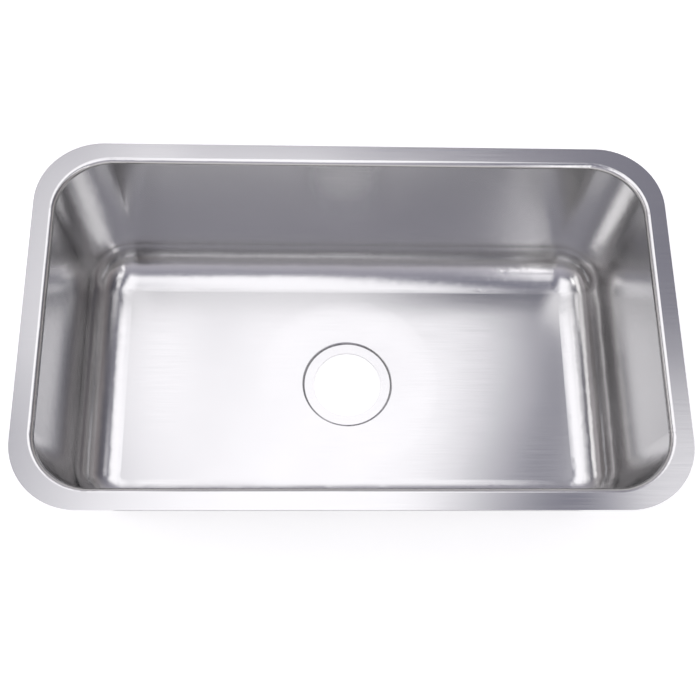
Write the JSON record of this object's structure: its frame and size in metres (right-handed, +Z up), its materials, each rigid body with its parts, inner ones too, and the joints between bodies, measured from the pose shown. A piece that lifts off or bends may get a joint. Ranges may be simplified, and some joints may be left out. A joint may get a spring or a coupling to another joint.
{
  "type": "kitchen sink",
  "caption": "Undermount stainless steel kitchen sink: one rectangular bowl drawn with its flange, rounded corners, a recessed drain opening, rubber sound pads and undercoating.",
  "frame": {"origin": "under the centre of the drain, in the plane of the underside of the two floor pads", "axes": "+X along the sink to its right-hand end, +Y to the back wall, +Z up out of the bowl"},
  "size_m": [0.762, 0.4572, 0.229],
  "materials": {
    "stainless_steel": "brushed satin",
    "sprayed_undercoating": "sprayed, pebbled matt",
    "pad_rubber": "smooth matt"
  },
  "bodies": {
    "root": {"bowl": "stainless_steel", "undercoating": "sprayed_undercoating", "floor_pad_left": "pad_rubber", "floor_pad_right": "pad_rubber", "left_pad": "pad_rubber", "right_pad": "pad_rubber", "front_pad": "pad_rubber", "back_pad": "pad_rubber"}
  },
  "joints": []
}
